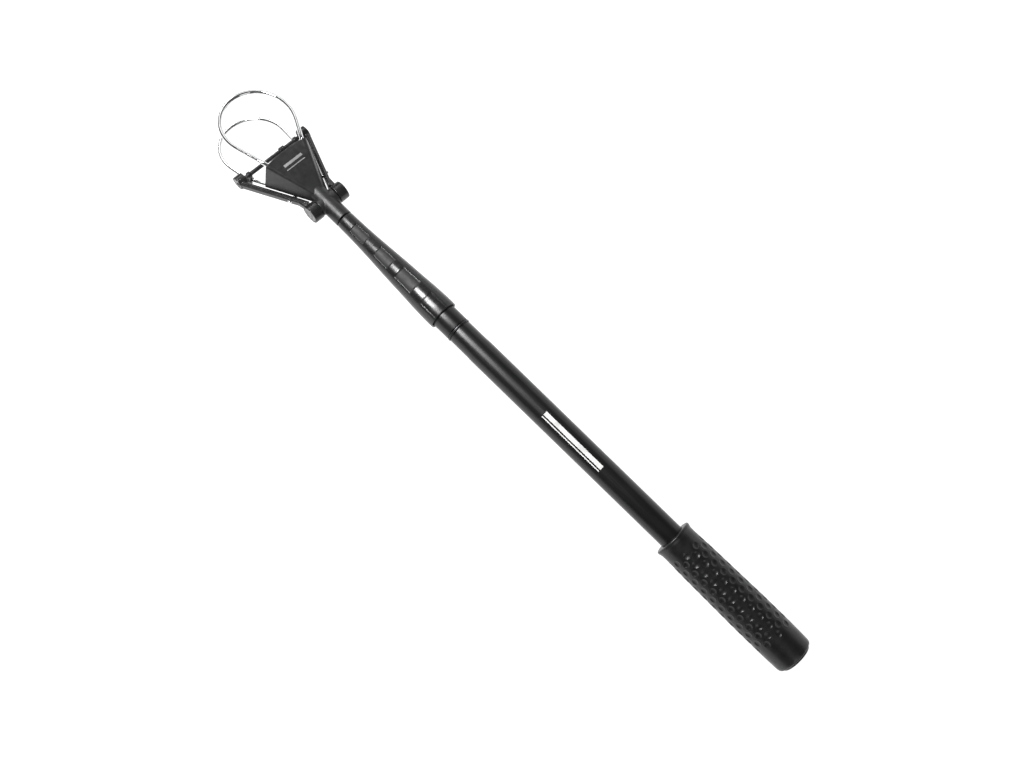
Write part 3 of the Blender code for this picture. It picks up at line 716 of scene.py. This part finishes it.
# =============================================================== front loop
arc = []
for (cx, cy, r, half), b0, b1 in ((A_LEFT, math.pi / 2 + A_LEFT[3], math.pi / 4), (A_RIGHT, math.pi / 4 - 0.03, -math.pi / 2 - A_RIGHT[3])):
    arc += [np.array((cx + r * math.cos(a), cy + r * math.sin(a), 12.4)) for a in np.linspace(b0, b1, 80)]
left = [leg_a(x, 1) for x in np.linspace(405.4, 436.5, 50)]
right = [leg_a(x, -1) for x in np.linspace(429.0, 405.4, 40)]
path = smooth_path(left + arc + right, 0.45, 40)
finish_obj("loop_front", sweep_wire("loopA", path, 1.2, 24), CHROME, "head", ["front_loop"], 60)

# =============================================================== rear jaw
ROD_X, ROD_Z = 431.4, -11.0
SLOPE = ROD_Z / (ROD_X - PIV)


def bar_point(x, side):
    return np.array((x, side * (8.5 + (x - 390.7) * 0.442), (x - PIV) * SLOPE))


BX, BR, BH, BT = 448.0, 20.6, D(6.0), D(25.0)
BDROP = math.tan(D(12.0))


def loop_b_z(x):
    return -16.5 - (x - ROD_X) * BDROP


def loop_b_y(x):
    xt, yt, knee = BX - BR * math.sin(BH), BR * math.cos(BH), ROD_X + 2.4
    if x >= knee:
        return yt - (xt - x) * math.tan(BH)
    return yt - (xt - knee) * math.tan(BH) - (knee - x) * math.tan(BT)


for side, tag in ((1, "left"), (-1, "right")):
    s = side
    boss = turned_y("boss", rnd([(s * 6.8, 0.0), (s * 6.8, 5.35, 0.3), (s * 13.0, 5.35, 0.45), (s * 13.0, 4.75, 0.1), (s * 12.1, 4.75, 0.1), (s * 12.1, 0.0)],
                                False, 6), PIV, 0.0, 96, closed=False)
    small = turned_y("small", rnd([(s * 21.6, 0.0), (s * 21.6, 3.9, 0.35), (s * 27.0, 3.9, 0.4), (s * 27.0, 3.4, 0.1), (s * 26.1, 3.4, 0.1), (s * 26.1, 0.0)],
                                  False, 6), ROD_X, ROD_Z, 72, closed=False)
    web = prism(rrect(3.1, 4.6, 0.9, 6), bar_point(390.9, s), bar_point(430.8, s))
    gusset = prism(rrect(2.9, 4.4, 0.9, 6), (386.6, s * 9.9, -0.3), bar_point(396.5, s))
    lip = prism(rrect(0.8, 1.4, 0.3, 4), bar_point(393.0, s) + np.array((0, 0, 2.0)), bar_point(428.0, s) + np.array((0, 0, 2.0)))
    me = fuse(tag + "_lever", [boss, small, web, gusset, lip], voxel=0.16, passes=4)
    finish_obj(tag + "_lever_moulded", me, SATIN, "rear_jaw", [tag + "_lever"], None)
    cover = turned_y("cover", rnd([(s * 12.3, 0.0), (s * 12.3, 4.5, 0.1), (s * 13.0, 4.5, 0.25), (s * 13.0, 3.3, 0.15), (s * 12.8, 3.1, 0.1), (s * 12.8, 1.9, 0.1),
                                   (s * 13.1, 1.7, 0.15), (s * 13.1, 0.0)], False, 5), PIV, 0.0, 80, closed=False)
    finish_obj(tag + "_cover_cap", cover, GREY, "rear_jaw", [tag + "_spring_cover"], 40)
    plug = turned_y("plug", rnd([(s * 26.3, 0.0), (s * 26.3, 3.15, 0.1), (s * 27.1, 3.15, 0.3), (s * 27.1, 1.3, 0.1), (s * 26.9, 1.1, 0.1), (s * 26.9, 0.0)],
                                False, 5), ROD_X, ROD_Z, 64, closed=False)
    finish_obj(tag + "_plug_cap", plug, GREY, "rear_jaw", [tag + "_rod_plug"], 40)
    wy, wz = loop_b_y(ROD_X), loop_b_z(ROD_X)
    y0, y1 = sorted((s * (wy - 1.3), s * (wy + 1.2)))
    hub = turned_y("hub", rnd([(y0, 0.0), (y0, 1.9, 0.4), (y1, 1.9, 0.4), (y1, 0.0)], False, 5), ROD_X, ROD_Z, 48, closed=False)
    w0 = (ROD_X - 1.4, s * loop_b_y(ROD_X - 1.4), loop_b_z(ROD_X - 1.4))
    w1 = (ROD_X + 1.4, s * loop_b_y(ROD_X + 1.4), loop_b_z(ROD_X + 1.4))
    hug = prism([(2.0 * math.cos(t), 2.0 * math.sin(t)) for t in np.arange(28) * math.tau / 28], w0, w1)
    tie = prism(rrect(2.4, 2.4, 0.5), (ROD_X, s * wy, ROD_Z), (ROD_X, s * wy, wz), up=(1, 0, 0))
    me = fuse(tag + "_clip", [hub, hug, tie], voxel=0.16, passes=6)
    finish_obj(tag + "_clip_moulded", me, SATIN, "rear_jaw", [tag + "_wire_clip"], None)
    NODES[tag + "_torsion_spring"].data.materials.clear()
    NODES[tag + "_torsion_spring"].data.materials.append(STEEL)

me = turned_y("rod", rnd([(-25.7, 0.0), (-25.7, 1.2, 0.2), (25.7, 1.2, 0.2), (25.7, 0.0)], False, 4), ROD_X, ROD_Z, 40, closed=False)
finish_obj("rod_cross", me, BLACKSTEEL, "rear_jaw", ["cross_rod"])
me = turned_y("collar", rnd([(-9.6, 1.45, 0.05), (-9.6, 2.0, 0.45), (-6.0, 2.0, 0.45), (-6.0, 1.45, 0.05)], True, 6), ROD_X, ROD_Z, 56, closed=True)
finish_obj("collar_rod", me, PLASTIC, "rear_jaw", ["rod_collar"])
me = turned_y("pivot", rnd([(-11.9, 0.0), (-11.9, 1.5, 0.3), (11.9, 1.5, 0.3), (11.9, 0.0)], False, 4), PIV, 0.0, 40, closed=False)
finish_obj("pin_pivot", me, STEEL, "head", ["pivot_pin"])

a0 = math.pi / 2 + BH
arc = [np.array((BX + BR * math.cos(a), BR * math.sin(a), loop_b_z(BX + BR * math.cos(a)))) for a in np.linspace(a0, -a0, 120)]
tail = bar_point(400.6, 1)
leg = [np.array((400.6, tail[1] + 2.4, tail[2])), np.array((400.6, loop_b_y(404.0) + 1.6, tail[2])), np.array((401.6, loop_b_y(404.0) + 0.2, tail[2] * 0.9 + loop_b_z(402.6) * 0.1)),
       np.array((405.5, loop_b_y(405.5), loop_b_z(405.5)))]
leg += [np.array((x, loop_b_y(x), loop_b_z(x))) for x in np.linspace(407.0, 445.0, 50)]
right = [q * np.array((1, -1, 1)) for q in reversed(leg)]
path = smooth_path(leg + arc + right, 0.45, 25)
finish_obj("loop_rear", sweep_wire("loopB", path, 1.2, 24), CHROME, "rear_jaw", ["rear_loop"], 60)

# =============================================================== floor, light, camera
lo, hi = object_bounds()
bm = bmesh.new()
bmesh.ops.create_grid(bm, x_segments=60, y_segments=60, size=3.0)
fm = bpy.data.meshes.new("floor")
bm.to_mesh(fm)
bm.free()
floor = bpy.data.objects.new("floor", fm)
bpy.context.scene.collection.objects.link(floor)
# the pale ground lies far enough below that the opened rear jaw stays clear of it
za, zb = -47.0, -59.4
tilt = math.atan2((zb - za), (467.0 - 30.0))
floor.rotation_euler = (0, -tilt, 0)
floor.location = (0.03, 0, za * MM - 0.0002)
m, nt, p = new_mat("floor_pale", (0.30, 0.30, 0.30), 0.85, spec=0.0)
v = coords(nt)
nt.links.new(ramp(nt, noise(nt, v, 6, 2), [(0.3, (0.29, 0.29, 0.29)), (0.7, (0.31, 0.31, 0.31))]), p.inputs["Base Color"])
p.inputs["Emission Color"].default_value = (1, 1, 1, 1)
p.inputs["Emission Strength"].default_value = 0.92
fm.materials.append(m)

world = bpy.data.worlds.new("studio")
bpy.context.scene.world = world
world.use_nodes = True
world.node_tree.nodes["Background"].inputs["Color"].default_value = (1, 1, 1, 1)
world.node_tree.nodes["Background"].inputs["Strength"].default_value = 0.10


def area(name, loc, target, size, power, size_y=None):
    li = bpy.data.lights.new(name, 'AREA')
    li.energy = power
    li.size = size
    if size_y:
        li.shape = 'RECTANGLE'
        li.size_y = size_y
    ob = bpy.data.objects.new(name, li)
    bpy.context.scene.collection.objects.link(ob)
    ob.location = loc
    if target is not None:
        ob.rotation_euler = (Vector(target) - Vector(loc)).to_track_quat('-Z', 'Y').to_euler()
    return ob


# one long soft box over the head end, near the camera's side: it draws the pale line on the socket and neck
area("softbox_key", (0.521, 0.215, 0.555), None, 0.054, 6.3, 0.32)
area("panel_bars", (1.15, -0.165, 0.555), None, 0.20, 1.1, 0.20)
area("panel_head", (0.96, -0.24, 0.555), None, 0.60, 1.35, 0.56)
area("panel_back", (0.24, -1.6, 0.58), (0.24, 0.0, 0.58), 5.0, 15.5, 1.15)
area("softbox_fill", (-0.55, 0.25, 0.55), (0.10, 0.0, 0.0), 0.5, 1.2, 0.5)

PHI = D(17.5)
vh = Vector((0, -math.cos(PHI), math.sin(PHI)))
wh = Vector((0, math.sin(PHI), math.cos(PHI)))
ex = Vector((1, 0, 0))
right_v = -0.71747 * ex + 0.69663 * vh
up_v = 0.69663 * ex + 0.71747 * vh
cam_data = bpy.data.cameras.new("camera")
cam = bpy.data.objects.new("camera", cam_data)
bpy.context.scene.collection.objects.link(cam)
rot = Matrix((right_v, up_v, wh)).transposed().to_4x4()
foot_x = (0.588 * 271.8 + 2.65) * MM
loc = ex * foot_x + vh * (-11.8 * 0.588 * MM) + wh * (930 * 0.588 * MM)
cam.matrix_world = Matrix.Translation(loc) @ rot
cam_data.sensor_width = 36.0
cam_data.lens = 930 / 1024 * 36.0
cam_data.shift_x = -(590.2 - 512) / 1024
cam_data.shift_y = (474.3 - 384) / 1024
cam_data.clip_start = 0.01
cam_data.dof.use_dof = False
bpy.context.scene.camera = cam
bpy.context.scene.view_settings.view_transform = 'Standard'
